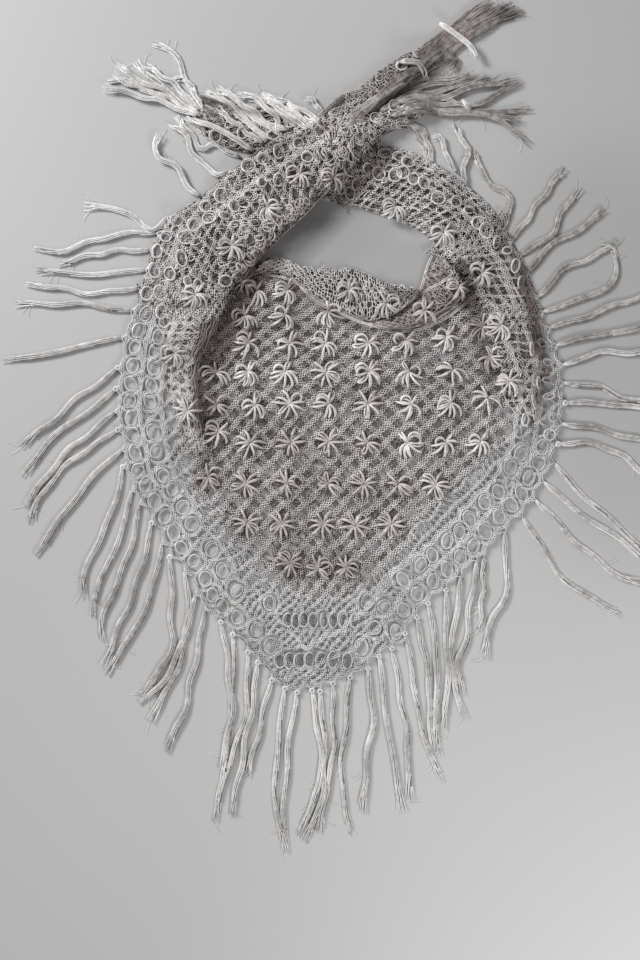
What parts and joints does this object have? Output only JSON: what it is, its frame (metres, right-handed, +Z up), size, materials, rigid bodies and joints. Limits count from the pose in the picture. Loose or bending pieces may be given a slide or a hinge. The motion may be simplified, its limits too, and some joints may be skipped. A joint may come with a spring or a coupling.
{
  "type": "lace shawl",
  "caption": "Triangular silver-taupe lace shawl with yarn-loop flowers, ring border and long silky fringe, laid flat as a kerchief with its two ends crossed above the neck gap.",
  "frame": {"origin": "under the middle flower of the front's fifth row, in the lace's flat underside, which lies on the floor", "axes": "+Z up from the floor, +Y from the front tip towards the neck and the crossed ends, +X to the right seen from above"},
  "size_m": [0.9109, 1.1053, 0.028],
  "materials": {
    "lace": "silky twisted yarn, open net, silver-taupe",
    "folded_lace": "the same silky yarn in several layers, mauve-brown in its shadows",
    "tassels": "silky loose threads, pale silver"
  },
  "bodies": {
    "root": {"front_panel": "lace", "left_wing": "folded_lace", "left_pleat": "folded_lace", "left_tail_upper": "folded_lace", "left_tail_lower": "folded_lace", "right_wing_lower": "folded_lace", "right_wing_upper": "folded_lace", "right_tail": "folded_lace", "right_pleat": "folded_lace", "neck_roll": "folded_lace", "twist_band": "folded_lace", "fringe_left_top": "tassels", "fringe_left": "tassels", "fringe_lower_left": "tassels", "fringe_bottom_left": "tassels", "fringe_bottom_right": "tassels", "fringe_lower_right": "tassels", "fringe_right": "tassels", "fringe_right_top": "tassels", "fringe_left_shoulder": "tassels", "fringe_left_end": "tassels", "fringe_left_end_low": "tassels", "fringe_right_end": "tassels", "fringe_right_end_top": "tassels", "fringe_right_shoulder": "tassels"}
  },
  "joints": []
}
